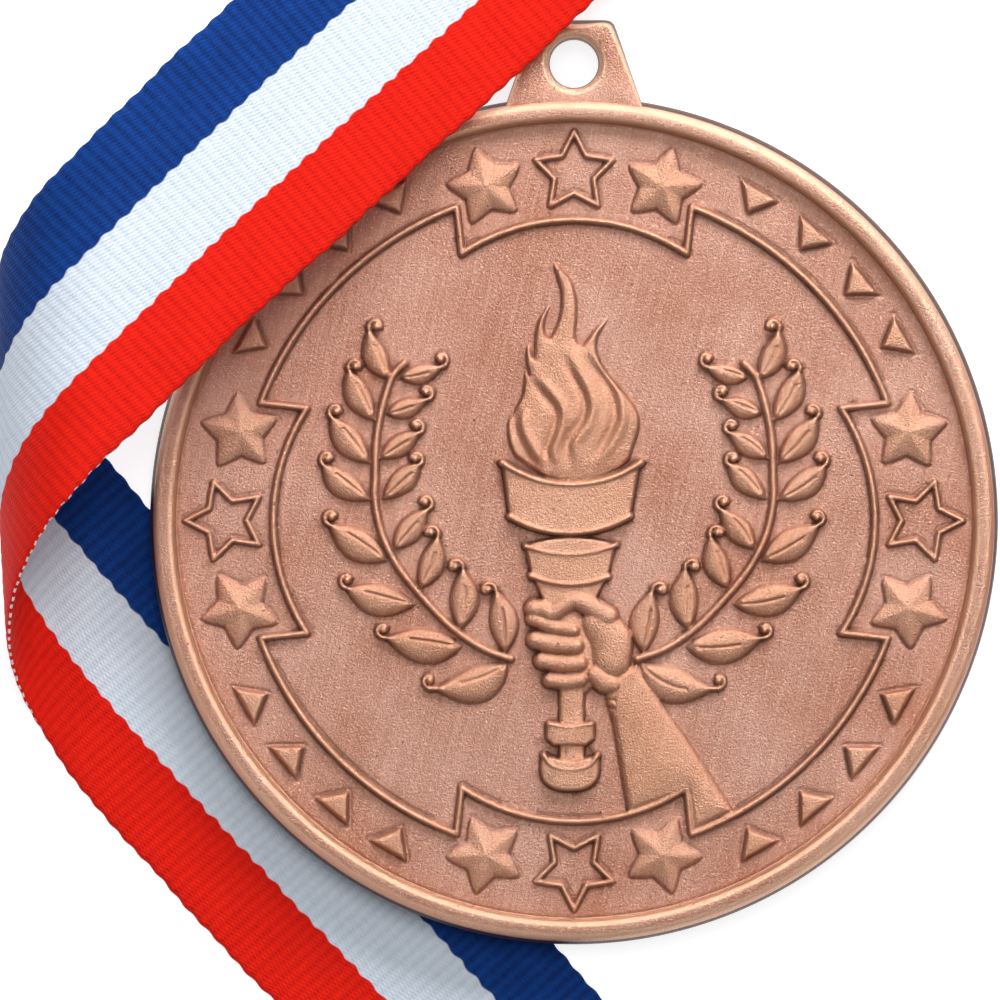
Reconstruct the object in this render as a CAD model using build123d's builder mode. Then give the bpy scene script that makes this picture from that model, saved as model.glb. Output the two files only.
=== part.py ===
from build123d import *
import os
from math import cos, radians, sin

os.makedirs("parts", exist_ok=True)

# Sports finisher medal on its neck ribbon, lying face up. Millimetres.
# Origin: centre of the tab's hole, half way through its wall. +X right, +Y up the face, +Z out of it.

# ---------------------------------------------------------------- medal
disc_r = 35.0                 # struck disc, 70 mm across
rim_w = 2.1                   # width of the raised rim
half_t = 2.0                  # half of the 4 mm rim thickness
field_z = 0.8                 # front field
back_z = -1.3                 # back field
hole_r = 2.0                  # hole for the clasp
hole_up = 37.7                # hole above the disc's centre
tab_half_t = 1.4              # half of the tab's thickness
tab_base, tab_top = 5.9, 3.2  # half widths of the tab
tab_rise = 3.6                # tab's top above the hole's centre

# ---------------------------------------------------------------- ribbon
ribbon_w = 20.0
ribbon_t = 0.5
table_z = -2.7                # what everything lies on
lane_x = 48.0                 # the folded stretch beside the medal
under_z = table_z + ribbon_t / 2
ribbon_len = 800.0
layer = ribbon_t + 0.05       # pitch of layers sewn on each other
ride_z = half_t + ribbon_t / 2 + 0.4      # middle of the strand where it lies on the medal's rim
joint_y = 103.0 - hole_up     # strand's square end inside the sewn joint
ramp_from, ramp_turn = 28.0, 27           # where it climbs from the table to the medal
climb_r, climb_turn = 12.0, 14            # and from the medal up to its soft loop
loop_top_r, loop_low_r = 7.5, 5.7         # the loop's upper and lower quarter
fold_r, turn_r = 0.8, 0.7     # corner fold, turns of the stacked passes
corner_len = 13.0
fold_clear = 15.0             # first pass leaves the corner's other layer behind
drop_turn, step_turn, flap_turn = 20, 26, 22
lane_low = -77.0 - hole_up    # lower turn of the stacked passes
flap_len = 17.0
box, stitches = 14.0, 5       # stitched square, stitches to a side
stitch_len, thread_w, thread_h = 2.2, 0.45, 0.2
over_heading = 223.5          # strand that crosses over the medal
under_heading = 311.8         # strand that runs under it
lane_heading = 90.0

# ---------------------------------------------------------------- ring and clasp
bar_y = 114.5 - hole_up       # the ring's bar, in the ribbon's sewn loop
bar_wire_r = 0.9
loop_r = 1.35                 # middle of the ribbon round the bar
bar_z = under_z + loop_r
ring_half_w = 13.0            # bar's half length, wire middle
ring_rise = 9.0               # bar to the top of the bow, wire middle
eye_r, eye_wire_r = 2.1, 0.7  # swivel eye: wire middle radius, wire radius
clasp_half_t = 1.6


def polar(r, angle):
    """A point on the medal's face, in polar form about the disc's centre."""
    return (r * cos(radians(angle)), r * sin(radians(angle)))


face = Plane((0, -hole_up, field_z))      # the field, with the disc's centre as its origin


# ---------------------------------------------------------------- relief on the face
def star_points(r_out, r_in, up):
    return [polar(r_in if i % 2 else r_out, up + 36 * i) for i in range(10)]


def outline():
    """Raised line: a four-lobed frame with a notch at each lobe's corners."""
    with BuildSketch(face) as sketch:
        for axis in range(0, 360, 90):
            with BuildLine():
                low = polar(23.9, axis - 22.8)
                high = polar(23.9, axis + 22.8)
                corner = polar(27.5, axis + 20.6)
                ThreePointArc(low, polar(24.8, axis), high)
                Line(high, corner)
                ThreePointArc(corner, polar(27.6, axis + 45), polar(27.5, axis + 69.4))
                Line(polar(27.5, axis + 69.4), polar(23.9, axis + 67.2))
            trace(line_width=0.5)
    return sketch


def stars_and_triangles():
    """Line stars on the axes, and the triangles along the diagonals."""
    with BuildSketch(face) as lines:
        for axis in range(0, 360, 90):
            with Locations(polar(28.7, axis)):
                Polygon(*star_points(3.6, 1.85, axis), align=None)
                Polygon(*star_points(2.9, 1.45, axis), align=None, mode=Mode.SUBTRACT)
    with BuildSketch(face) as wedges:
        for axis in range(45, 360, 90):
            for side in (-15.6, -5.2, 5.2, 15.6):
                with Locations(Location((*polar(30.5, axis + side), 0), axis + side - 90)):
                    Polygon((-1.8, 0.75), (1.8, 0.75), (0, -1.45), align=None)
    return lines, wedges


def soft_star(axis):
    """Faceted star with ridges to its tips, as a face and the height of its peak."""
    with BuildSketch(face) as sketch:
        with Locations(polar(28.5, axis)):
            Polygon(*star_points(3.6, 1.85, axis), align=None)
    return sketch


stem_points = [(5.2, -11.4), (10.3, -8.7), (14.5, -3.8), (16.3, 1.5), (16.2, 6.6), (14.7, 12.3), (14.0, 13.0)]
# each leaf: foot on the stem, middle of the blade, curled tip
leaves = [
    ((15.2, 11.7), (16.3, 13.7), (16.3, 16.0)), ((16.4, 8.2), (17.8, 10.6), (18.0, 12.7)),
    ((16.8, 4.7), (18.7, 6.9), (19.6, 9.0)), ((16.8, 1.7), (19.2, 3.3), (20.3, 5.1)),
    ((15.4, -3.3), (18.0, -1.7), (20.0, 0.3)), ((13.1, -6.9), (16.4, -6.3), (18.7, -4.9)),
    ((9.2, -10.4), (12.6, -10.1), (15.7, -9.0)), ((5.5, -11.8), (8.3, -13.4), (11.9, -13.2)),
    ((14.3, 11.8), (12.6, 12.2), (11.0, 13.3)), ((15.4, 8.8), (13.8, 9.4), (12.2, 10.6)),
    ((16.0, 5.1), (14.3, 6.4), (13.0, 7.8)), ((15.8, 1.7), (14.0, 3.6), (13.1, 5.1)),
    ((14.8, -2.4), (13.5, -0.5), (12.3, 1.5)), ((12.7, -5.6), (11.8, -3.3), (11.8, -1.0)),
    ((9.4, -9.0), (9.2, -6.2), (9.8, -3.8)), ((5.7, -10.9), (6.0, -8.1), (7.1, -5.7)),
]


def leaf_blade(foot, middle, tip):
    """Almond from the foot past the middle, as wide as a third of its length."""
    run = Vector(*tip) - Vector(*foot)
    half = run.length * 0.27
    side = Vector(-run.Y, run.X) / run.length * half
    with BuildLine() as edge:
        ThreePointArc(foot, tuple(Vector(*middle) + side)[:2], tip)
        ThreePointArc(tip, tuple(Vector(*middle) - side)[:2], foot)
    make_face(edge.edges())


def wreath():
    with BuildSketch(face) as stem:
        with BuildLine():
            Spline(*stem_points)
        trace(line_width=0.8)
        mirror(about=Plane.YZ)
    with BuildSketch(face) as blades:
        for foot, middle, tip in leaves:
            leaf_blade(foot, middle, tip)
        mirror(about=Plane.YZ)
    with BuildSketch(face) as curls:
        for foot, middle, tip in leaves:
            with Locations(tip):
                Circle(0.75)
        mirror(about=Plane.YZ)
    return stem, blades, curls


def torch():
    """Cup, band and handle of the torch, each a flat-topped step."""
    with BuildSketch(face) as cups:
        Polygon((-6.0, 4.8), (5.6, 4.8), (4.6, 0.3), (-5.4, 0.2), align=None)
        Polygon((-4.0, -2.0), (3.5, -2.0), (1.7, -6.4), (-2.4, -6.4), align=None)
        with Locations((-0.4, -15.4)):
            Rectangle(2.4, 9.0)
    with BuildSketch(face) as bands:
        with Locations((-0.3, -17.5)):
            Rectangle(4.2, 2.0)
        with Locations((-0.3, -20.6)):
            Ellipse(2.5, 1.7)
        with Locations((-0.2, 0.0)):
            Ellipse(5.2, 1.0)
    return cups, bands


def flame():
    """Tongues of flame above the cup, in one outline."""
    with BuildSketch(face) as sketch:
        with BuildLine():
            ThreePointArc((-4.3, 4.9), (-5.5, 8.0), (-4.1, 12.4))
            ThreePointArc((-4.1, 12.4), (-4.1, 13.5), (-3.8, 14.6))
            Line((-3.8, 14.6), (-3.3, 14.0))
            ThreePointArc((-3.3, 14.0), (-3.1, 16.2), (-2.0, 17.8))
            ThreePointArc((-2.0, 17.8), (-2.4, 16.4), (-2.1, 15.1))
            ThreePointArc((-2.1, 15.1), (-1.1, 17.8), (-1.7, 21.2))
            ThreePointArc((-1.7, 21.2), (0.2, 18.0), (0.1, 15.1))
            Line((0.1, 15.1), (0.6, 14.3))
            ThreePointArc((0.6, 14.3), (1.4, 15.7), (2.8, 16.7))
            ThreePointArc((2.8, 16.7), (2.0, 14.0), (3.5, 11.2))
            ThreePointArc((3.5, 11.2), (5.4, 8.2), (4.3, 4.9))
            Line((4.3, 4.9), (-4.3, 4.9))
        make_face()
    return sketch


def hand():
    """Fist round the handle, and the forearm running down to the frame line."""
    with BuildSketch(face) as arm:
        with BuildLine():
            Polyline((2.6, -14.6), (4.5, -23.6))
            ThreePointArc((4.5, -23.6), (8.9, -24.2), (13.0, -23.4))
            Polyline((13.0, -23.4), (9.0, -17.0), (5.4, -12.0), (1.6, -11.5), (2.6, -14.6))
        make_face()
    with BuildSketch(face) as fist:
        with BuildLine():
            Spline((-4.1, -7.5), (-1.0, -6.0), (2.6, -7.2), (4.9, -11.0), (3.4, -14.4), (-2.0, -14.2),
                   (-4.1, -11.5), periodic=True)
        make_face()
    with BuildSketch(face) as fingers:
        for row in range(4):
            with Locations(Location((-1.4, -7.8 - 1.9 * row, 0), -4)):
                SlotCenterToCenter(3.6 - 0.3 * row, 1.6)
    return arm, fist, fingers


# ---------------------------------------------------------------- struck medal
with BuildPart() as medal:
    with BuildSketch(Plane((0, -hole_up, 0), x_dir=(1, 0, 0), z_dir=(0, -1, 0))) as section:
        with BuildLine():
            inner = disc_r - rim_w
            Line((0, back_z), (0, field_z))
            Line((0, field_z), (inner, field_z))
            Line((inner, field_z), (inner + 0.5, half_t - 0.25))
            ThreePointArc((inner + 0.5, half_t - 0.25), (inner + 1.1, half_t), (disc_r - 0.45, half_t - 0.4))
            ThreePointArc((disc_r - 0.45, half_t - 0.4), (disc_r, 0), (disc_r - 0.45, 0.4 - half_t))
            ThreePointArc((disc_r - 0.45, 0.4 - half_t), (inner + 1.1, -half_t), (inner + 0.5, 0.25 - half_t))
            Line((inner + 0.5, 0.25 - half_t), (inner, back_z))
            Line((inner, back_z), (0, back_z))
        make_face()
    revolve(axis=Axis((0, -hole_up, 0), (0, 0, 1)))
    with BuildSketch(Plane.XY.offset(-tab_half_t)) as tab:
        with BuildLine():
            foot_y = 33.6 - hole_up
            Polyline((-tab_top, tab_rise), (-tab_base, foot_y), (tab_base, foot_y), (tab_top, tab_rise), close=True)
        make_face()
        fillet(tab.vertices().group_by(Axis.Y)[-1], radius=1.6)
    extrude(amount=2 * tab_half_t)
    with Locations((0, 0, 0)):
        Hole(radius=hole_r)
    extrude(outline().sketch, amount=0.5)
    star_lines, wedges = stars_and_triangles()
    extrude(star_lines.sketch, amount=0.45)
    extrude(wedges.sketch, amount=0.5)
    for axis in range(0, 360, 90):
        for side in (-14.8, 14.8):
            top = Vertex(*(polar(28.5, axis + side)), 0).moved(Location((0, -hole_up, field_z + 0.75)))
            loft(sections=[soft_star(axis + side).sketch.faces()[0], top])
    stem, blades, curls = wreath()
    extrude(stem.sketch, amount=0.5)
    extrude(blades.sketch, amount=0.75)
    extrude(curls.sketch, amount=0.9)
    cups, bands = torch()
    extrude(cups.sketch, amount=0.8)
    extrude(bands.sketch, amount=1.0)
    extrude(flame().sketch, amount=0.75)
    arm, fist, fingers = hand()
    extrude(arm.sketch, amount=0.75)
    extrude(fist.sketch, amount=0.9)
    extrude(fingers.sketch, amount=1.05)
medal.part.label = "medal"
export_step(medal.part, "parts/medal.step")

# ---------------------------------------------------------------- ribbon: one strip, folded only as flat cloth can
# A profile is a chain of (length, turn) runs and arcs. The strip is wrapped over it with its rulings in one
# direction, so every stretch keeps its length and width.


def arc(radius, turn):
    """One arc of a profile: its length and its turn in degrees."""
    return radians(abs(turn)) * radius, turn


def length_of(profile):
    return sum(length for length, turn in profile)


def along(profile, distance):
    """Forward and upward position at a distance along a profile."""
    forward = up = heading = 0.0
    for length, turn in profile:
        step = min(distance, length)
        angle = radians(turn) * step / length
        chord = step if turn == 0 else 2 * length / radians(abs(turn)) * sin(abs(angle) / 2)
        forward += chord * cos(heading + angle / 2)
        up += chord * sin(heading + angle / 2)
        heading += angle
        distance -= step
        if distance <= 0:
            return forward, up
    return forward + distance * cos(heading), up + distance * sin(heading)


def strip_point(start, heading, ruling, profile, s, t):
    """Middle of the ribbon at length s and width t past a start point, wrapped over a profile."""
    east = s * cos(radians(heading)) - t * sin(radians(heading))
    north = s * sin(radians(heading)) + t * cos(radians(heading))
    across = (cos(radians(ruling)), sin(radians(ruling)))
    ahead = (across[1], -across[0])
    if cos(radians(heading)) * ahead[0] + sin(radians(heading)) * ahead[1] < 0:
        ahead = (-ahead[0], -ahead[1])
    distance = east * ahead[0] + north * ahead[1]
    side = east * across[0] + north * across[1]
    forward, up = along(profile, distance) if distance > 0 else (distance, 0.0)
    return Vector(start.X + side * across[0] + forward * ahead[0],
                  start.Y + side * across[1] + forward * ahead[1], start.Z + up)


def strip(start, heading, ruling, profile, s_from, s_to, steps):
    """One stretch of the ribbon as a solid."""
    rows = []
    for i in range(steps + 1):
        s = s_from + (s_to - s_from) * i / steps
        rows.append([strip_point(start, heading, ruling, profile, s, t * ribbon_w / 10) for t in range(-5, 6, 2)])
    middle = Face.make_surface_from_array_of_points(rows, tol=0.02)
    with BuildPart() as stretch:
        thicken(middle, amount=ribbon_t / 2, both=True)
    return stretch.part.solids()


# over: from the sewn joint, up on to the medal, up its soft loop and round under the medal
over_start = Vector(lane_x + 2, joint_y, under_z + layer)
over_ruling = (over_heading + under_heading) / 2
ramp_r = (ride_z - over_start.Z) / 2 / (1 - cos(radians(ramp_turn)))
climb_rise = under_z + loop_top_r + loop_low_r - ride_z
climb_rise -= (climb_r + loop_top_r) * (1 - cos(radians(climb_turn)))
over = [(ramp_from, 0), arc(ramp_r, ramp_turn), arc(ramp_r, -ramp_turn), (4.0, 0), arc(climb_r, climb_turn),
        (climb_rise / sin(radians(climb_turn)), 0), arc(loop_top_r, -90 - climb_turn), arc(loop_low_r, -90)]
over_slant = radians(over_heading - over_ruling + 90)
bend_end = (length_of(over) + ribbon_w / 2 * sin(over_slant)) / cos(over_slant) + 1
bend_start = bend_end - 55
ramp_end = 62.0

# corner: the fold where the under strand turns up into the lane
fold_ruling = (under_heading + lane_heading - 360) / 2
corner = [(5.0, 0), arc(fold_r, 180)]
bend_exit = strip_point(over_start, over_heading, over_ruling, over, bend_end, 0)
trial = strip_point(bend_exit, under_heading, fold_ruling, corner, corner_len, 0)
under_run = (lane_x - trial.X) / cos(radians(under_heading))
fold_start = strip_point(over_start, over_heading, over_ruling, over, bend_end + under_run, 0)
lane_start = strip_point(fold_start, under_heading, fold_ruling, corner, corner_len, 0)

# lane: down to the table, three passes laid on each other, then through the ring and back under its own stitches
drop_r = 2 * fold_r / 2 / (1 - cos(radians(drop_turn)))
step_r = 4 * turn_r / 2 / (1 - cos(radians(step_turn)))
flap_r = (2 * loop_r - 2 * layer) / 2 / (1 - cos(radians(flap_turn)))
drop_span = 2 * drop_r * sin(radians(drop_turn))
fixed = bend_end + under_run + corner_len + length_of([arc(drop_r, drop_turn), arc(step_r, step_turn)]) * 2
fixed += length_of([arc(turn_r, 180)]) * 2 + length_of([arc(loop_r, 180)]) + length_of([arc(flap_r, flap_turn)]) * 2
fixed += flap_len
# the passes take up what is left: they run from lane_low up to pass_top, back, and up again to the ring
step_span = 2 * step_r * sin(radians(step_turn))
spare = ribbon_len - fixed - (bar_y - lane_low) + step_span + drop_span - (lane_low - lane_start.Y)
pass_top = lane_low + spare / 2
lane = [(fold_clear, 0), arc(drop_r, -drop_turn), arc(drop_r, drop_turn),
        (pass_top - lane_start.Y - fold_clear - drop_span, 0), arc(turn_r, 180),
        (pass_top - lane_low, 0), arc(turn_r, -180),
        (pass_top + 3 - lane_low, 0), arc(step_r, -step_turn), arc(step_r, step_turn),
        (bar_y - pass_top - 3 - step_span, 0), arc(loop_r, 180),
        arc(flap_r, flap_turn), arc(flap_r, -flap_turn), (flap_len, 0)]

with BuildPart() as lane_pass:
    with BuildSketch(Plane((lane_x, lane_start.Y, lane_start.Z), x_dir=(0, 1, 0), z_dir=(1, 0, 0))):
        with BuildLine():
            done, heading = Vector(0, 0), 0.0
            for length, turn in lane:
                if turn == 0:
                    run = Line(done, done + Vector(cos(radians(heading)), sin(radians(heading))) * length)
                else:
                    run = JernArc(done, Vector(cos(radians(heading)), sin(radians(heading))),
                                  length / radians(abs(turn)), turn)
                done, heading = run @ 1, heading + turn
        trace(line_width=ribbon_t)
    extrude(amount=ribbon_w / 2, both=True)

stretches = strip(over_start, over_heading, over_ruling, over, 0, ramp_end, 24)
stretches += strip(over_start, over_heading, over_ruling, over, ramp_end, bend_start, 24)
stretches += strip(over_start, over_heading, over_ruling, over, bend_start, bend_end, 32)
stretches += strip(bend_exit, under_heading, fold_ruling, [(1.0, 0)], 0, under_run, 4)
stretches += strip(fold_start, under_heading, fold_ruling, corner, 0, corner_len, 26)
stretches += lane_pass.part.solids()
ribbon = Compound(label="ribbon", children=stretches)
export_step(ribbon, "parts/ribbon.step")

# ---------------------------------------------------------------- thread that closes the sewn joint
flap_top = under_z + 2 * layer + ribbon_t / 2
box_low = bar_y - 23.0
with BuildPart() as ribbon_stitching:
    with BuildSketch(Plane((lane_x, box_low + box / 2, flap_top))):
        for side in range(4):
            with PolarLocations(box / 2, 1, start_angle=90 * side):
                with GridLocations(1, box / stitches, 1, stitches):
                    SlotOverall(stitch_len, thread_w, rotation=90)
        for slope in (-45, 45):
            with Locations(Location((0, 0, 0), slope)):
                with GridLocations(box * 1.25 / stitches, 1, stitches, 1):
                    SlotOverall(stitch_len, thread_w)
    extrude(amount=thread_h)
ribbon_stitching.part.label = "ribbon_stitching"
export_step(ribbon_stitching.part, "parts/ribbon_stitching.step")

# ---------------------------------------------------------------- D-ring in the ribbon's loop
tilt = radians(8.0)           # its bow rests on the clasp's eye
ring_plane = Plane((lane_x, bar_y, bar_z), x_dir=(1, 0, 0), z_dir=(0, -sin(tilt), cos(tilt)))
with BuildPart() as ribbon_ring:
    with BuildLine(ring_plane) as ring_path:
        bar = Line((-ring_half_w, 0), (ring_half_w, 0))
        bow = ThreePointArc((ring_half_w, 0), (0, ring_rise), (-ring_half_w, 0))
        fillet(ring_path.vertices(), radius=1.6)
    with BuildSketch(Plane(ring_path.line @ 0, z_dir=ring_path.line % 0)):
        Circle(bar_wire_r)
    sweep(path=ring_path.line)
ribbon_ring.part.label = "ribbon_ring"
export_step(ribbon_ring.part, "parts/ribbon_ring.step")

# ---------------------------------------------------------------- swivel lobster clasp
eye_at = Vector(lane_x, bar_y + ring_rise * cos(tilt), bar_z + ring_rise * sin(tilt))
lie = radians(3.5)            # the clasp's nose touches the table
lay = Plane(eye_at, x_dir=(0, cos(lie), -sin(lie)), z_dir=(0, sin(lie), cos(lie)))
post_r, post_head_r = 0.8, 1.25
pivot = (8.2, 2.9)
pin_r = 0.5
lever_half_t = 0.75

with BuildPart(lay) as swivel_eye:
    Torus(eye_r, eye_wire_r, rotation=(90, 0, 0))
    with BuildSketch(lay):
        with BuildLine():
            Polyline((eye_r + 0.4, 0), (5.0, 0), (6.2, 0), (6.2, post_head_r), (5.0, post_head_r),
                     (5.0, post_r), (eye_r + 0.4, post_r), close=True)
        make_face()
    revolve(axis=Axis(lay.origin, lay.x_dir))
swivel_eye.part.label = "swivel_eye"
export_step(swivel_eye.part, "parts/swivel_eye.step")

with BuildPart(lay) as clasp_body:
    with BuildSketch(lay):
        with BuildLine():
            Line((8.0, -3.6), (16.0, -3.6))
            ThreePointArc((16.0, -3.6), (19.7, 0.1), (16.8, 3.7))
        trace(line_width=2.2)
        with Locations((6.7, 0)):
            RectangleRounded(6.4, 9.0, 2.0)
    extrude(amount=clasp_half_t, both=True)
    chamfer(clasp_body.edges().filter_by(GeomType.CIRCLE, reverse=True).group_by(Axis(lay.origin, lay.z_dir))[-1],
            length=0.3)
    with BuildSketch(lay):                         # slot for the lever
        with Locations((10.2, 4.0)):
            Rectangle(6.8, 5.6)
    extrude(amount=lever_half_t + 0.1, both=True, mode=Mode.SUBTRACT)
    with BuildSketch(lay):                         # bore for the swivel post and its head
        with BuildLine():
            Polyline((3.0, 0), (6.6, 0), (6.6, post_head_r + 0.2), (4.8, post_head_r + 0.2),
                     (4.8, post_r + 0.1), (3.0, post_r + 0.1), close=True)
        make_face()
    revolve(axis=Axis(lay.origin, lay.x_dir), mode=Mode.SUBTRACT)
    with BuildSketch(lay):                         # hole for the lever's pin
        with Locations(pivot):
            Circle(pin_r)
    extrude(amount=clasp_half_t, both=True, mode=Mode.SUBTRACT)
clasp_body.part.label = "clasp_body"
export_step(clasp_body.part, "parts/clasp_body.step")

with BuildPart(lay) as clasp_lever:
    with BuildSketch(lay):
        with BuildLine():
            Line(pivot, (15.4, 3.7))
        trace(line_width=1.5)
        with BuildLine():
            Polyline((9.6, 3.2), (10.6, 6.1), (12.4, 6.1), (12.2, 3.4), close=True)
        make_face()
        with Locations(pivot):
            Circle(1.3)
    extrude(amount=lever_half_t, both=True)
    with BuildSketch(lay):
        with Locations(pivot):
            Circle(pin_r + 0.06)
    extrude(amount=lever_half_t, both=True, mode=Mode.SUBTRACT)
    with BuildSketch(lay):                         # pocket for the spring
        with Locations(pivot):
            Circle(0.98)
    extrude(amount=0.45, both=True, mode=Mode.SUBTRACT)
clasp_lever.part.label = "clasp_lever"
export_step(clasp_lever.part, "parts/clasp_lever.step")

with BuildPart(lay) as lever_pin:
    with BuildSketch(lay):
        with Locations(pivot):
            Circle(pin_r)
    extrude(amount=clasp_half_t, both=True)
lever_pin.part.label = "lever_pin"
export_step(lever_pin.part, "parts/lever_pin.step")

coil_r, coil_wire_r, coil_h = 0.76, 0.09, 0.66
coil_plane = Plane(lay.from_local_coords((pivot[0], pivot[1], -coil_h / 2)), x_dir=lay.x_dir, z_dir=lay.z_dir)
with BuildPart() as lever_spring:
    with BuildLine(coil_plane) as coil:
        Helix(pitch=coil_h / 3, height=coil_h, radius=coil_r)
    with BuildSketch(Plane(coil.line @ 0, z_dir=coil.line % 0)):
        Circle(coil_wire_r)
    sweep(path=coil.line, is_frenet=True)
lever_spring.part.label = "lever_spring"
export_step(lever_spring.part, "parts/lever_spring.step")
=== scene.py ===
import math

import bpy
import numpy as np
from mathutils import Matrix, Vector


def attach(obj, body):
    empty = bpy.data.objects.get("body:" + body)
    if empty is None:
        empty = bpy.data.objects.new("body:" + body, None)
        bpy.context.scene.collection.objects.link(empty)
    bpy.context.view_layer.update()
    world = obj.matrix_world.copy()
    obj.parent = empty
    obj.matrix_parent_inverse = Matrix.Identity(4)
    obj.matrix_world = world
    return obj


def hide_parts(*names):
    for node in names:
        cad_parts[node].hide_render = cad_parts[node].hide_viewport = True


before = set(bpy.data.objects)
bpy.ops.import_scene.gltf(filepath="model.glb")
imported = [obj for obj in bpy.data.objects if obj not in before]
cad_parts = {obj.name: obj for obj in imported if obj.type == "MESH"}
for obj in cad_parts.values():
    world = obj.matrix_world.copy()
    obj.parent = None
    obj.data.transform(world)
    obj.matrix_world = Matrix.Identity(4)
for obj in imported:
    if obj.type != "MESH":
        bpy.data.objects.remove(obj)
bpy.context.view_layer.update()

MM = 0.001

# ------------------------------------------------------------------ sizes, in millimetres, as in the CAD
DISC_R, RIM_W, HALF_T = 35.0, 2.1, 2.0
FIELD_Z, BACK_Z = 0.8, -1.3
HOLE_R, HOLE_UP, TAB_HALF_T, TAB_RISE = 2.0, 37.7, 1.4, 3.6
TAB_BASE, TAB_TOP = 5.9, 3.2
INNER_R = DISC_R - RIM_W
TABLE_Z = -2.7


# ------------------------------------------------------------------ mesh helpers
def new_object(name, verts, faces, attributes=None, smooth=True):
    """A mesh object from points in millimetres, with optional float attributes on its points."""
    mesh = bpy.data.meshes.new(name)
    mesh.from_pydata((np.asarray(verts) * MM).tolist(), [], [list(face) for face in faces])
    for key, values in (attributes or {}).items():
        values = np.asarray(values, dtype=np.float32)
        mesh.attributes.new(key, "FLOAT", "POINT").data.foreach_set("value", values)
    mesh.polygons.foreach_set("use_smooth", [smooth] * len(mesh.polygons))
    mesh.update()
    obj = bpy.data.objects.new(name, mesh)
    bpy.context.scene.collection.objects.link(obj)
    return obj


def grid_faces(rows, cols, wrap_rows=False, wrap_cols=False):
    """Quads of a grid of points numbered row by row."""
    i = np.arange(rows if wrap_rows else rows - 1)[:, None]
    j = np.arange(cols if wrap_cols else cols - 1)[None, :]
    i2, j2 = (i + 1) % rows, (j + 1) % cols
    quads = np.stack([i * cols + j, i2 * cols + j, i2 * cols + j2, i * cols + j2], axis=-1)
    return quads.reshape(-1, 4)


def apply_modifiers(obj):
    """Bake an object's modifiers into its mesh."""
    graph = bpy.context.evaluated_depsgraph_get()
    baked = bpy.data.meshes.new_from_object(obj.evaluated_get(graph), depsgraph=graph)
    obj.modifiers.clear()
    obj.data = baked


# ------------------------------------------------------------------ relief: a height field on the disc
CELLS = 640                   # cells across the grid
STAR_TURN, WEDGE_TURN = 14.8, 10.4        # degrees between neighbouring stars, and triangles
THINNED = 190000              # sets how far the face's mesh is thinned
LINE_STAR_R, SOFT_STAR_R, WEDGE_R = 28.7, 28.5, 30.5      # how far out stars and triangles sit
RELIEF_GAIN = 1.12            # height of the finished relief over the drawn one


def disc_grid(cells, radius):
    """A square grid of points spread evenly over a disc."""
    a, b = np.meshgrid(np.linspace(-1, 1, cells + 1), np.linspace(-1, 1, cells + 1))
    wide = np.abs(a) > np.abs(b)
    safe_a, safe_b = np.where(a == 0, 1e-9, a), np.where(b == 0, 1e-9, b)
    r = np.where(wide, a, b) * radius
    angle = np.where(wide, math.pi / 4 * b / safe_a, math.pi / 2 - math.pi / 4 * a / safe_b)
    return (r * np.cos(angle)).ravel(), (r * np.sin(angle)).ravel()


X, Y = disc_grid(CELLS, INNER_R + 0.05)
HEIGHT = np.zeros_like(X)


def polar(r, angle):
    """A point on the face from its radius and its angle in degrees."""
    return r * math.cos(math.radians(angle)), r * math.sin(math.radians(angle))


def near(points, margin):
    """Indices of the grid points inside the points' box, grown by a margin."""
    points = np.asarray(points)
    low, high = points.min(axis=0) - margin, points.max(axis=0) + margin
    return np.nonzero((X > low[0]) & (X < high[0]) & (Y > low[1]) & (Y < high[1]))[0]


def path_distance(x, y, path):
    """Signed distance to a path (positive on its left), and how far along it the nearest point is."""
    path = np.asarray(path, dtype=float)
    best = np.full(x.shape, 1e9)
    signed, where = np.zeros_like(x), np.zeros_like(x)
    count = len(path) - 1
    for k in range(count):
        (ax, ay), (bx, by) = path[k], path[k + 1]
        dx, dy = bx - ax, by - ay
        size = max(dx * dx + dy * dy, 1e-12)
        t = np.clip(((x - ax) * dx + (y - ay) * dy) / size, 0, 1)
        ex, ey = x - ax - t * dx, y - ay - t * dy
        dist = np.hypot(ex, ey)
        closer = dist < best
        best = np.where(closer, dist, best)
        side = np.where(dx * (y - ay) - dy * (x - ax) >= 0, 1.0, -1.0)
        signed = np.where(closer, dist * side, signed)
        where = np.where(closer, (k + t) / count, where)
    return signed, where


def inside(x, y, outline):
    """True for points inside a closed outline."""
    outline = np.asarray(outline, dtype=float)
    result = np.zeros(x.shape, dtype=bool)
    for (ax, ay), (bx, by) in zip(outline, np.roll(outline, -1, axis=0)):
        if ay != by:
            crosses = (ay > y) != (by > y)
            result ^= crosses & (x < (bx - ax) * (y - ay) / (by - ay) + ax)
    return result


def depth_inside(x, y, outline):
    """Distance in from a closed outline; negative outside."""
    closed = list(outline) + [outline[0]]
    dist = np.abs(path_distance(x, y, closed)[0])
    return np.where(inside(x, y, outline), dist, -dist)


def smooth_path(points, per_span=8, closed=False):
    """Catmull-Rom curve through points."""
    p = np.asarray(points, dtype=float)
    p = np.vstack([p[-1], p, p[:2]]) if closed else np.vstack([2 * p[0] - p[1], p, 2 * p[-1] - p[-2]])
    out = []
    for k in range(1, len(p) - 2):
        for u in np.linspace(0, 1, per_span, endpoint=False):
            a, b, c, d = p[k - 1], p[k], p[k + 1], p[k + 2]
            out.append(0.5 * (2 * b + (c - a) * u + (2 * a - 5 * b + 4 * c - d) * u * u
                              + (3 * b - a - 3 * c + d) * u ** 3))
    if not closed:
        out.append(p[-2])
    return np.array(out)


def raise_to(index, height):
    """Raise grid points to a height, where they are lower."""
    HEIGHT[index] = np.maximum(HEIGHT[index], height)


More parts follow.
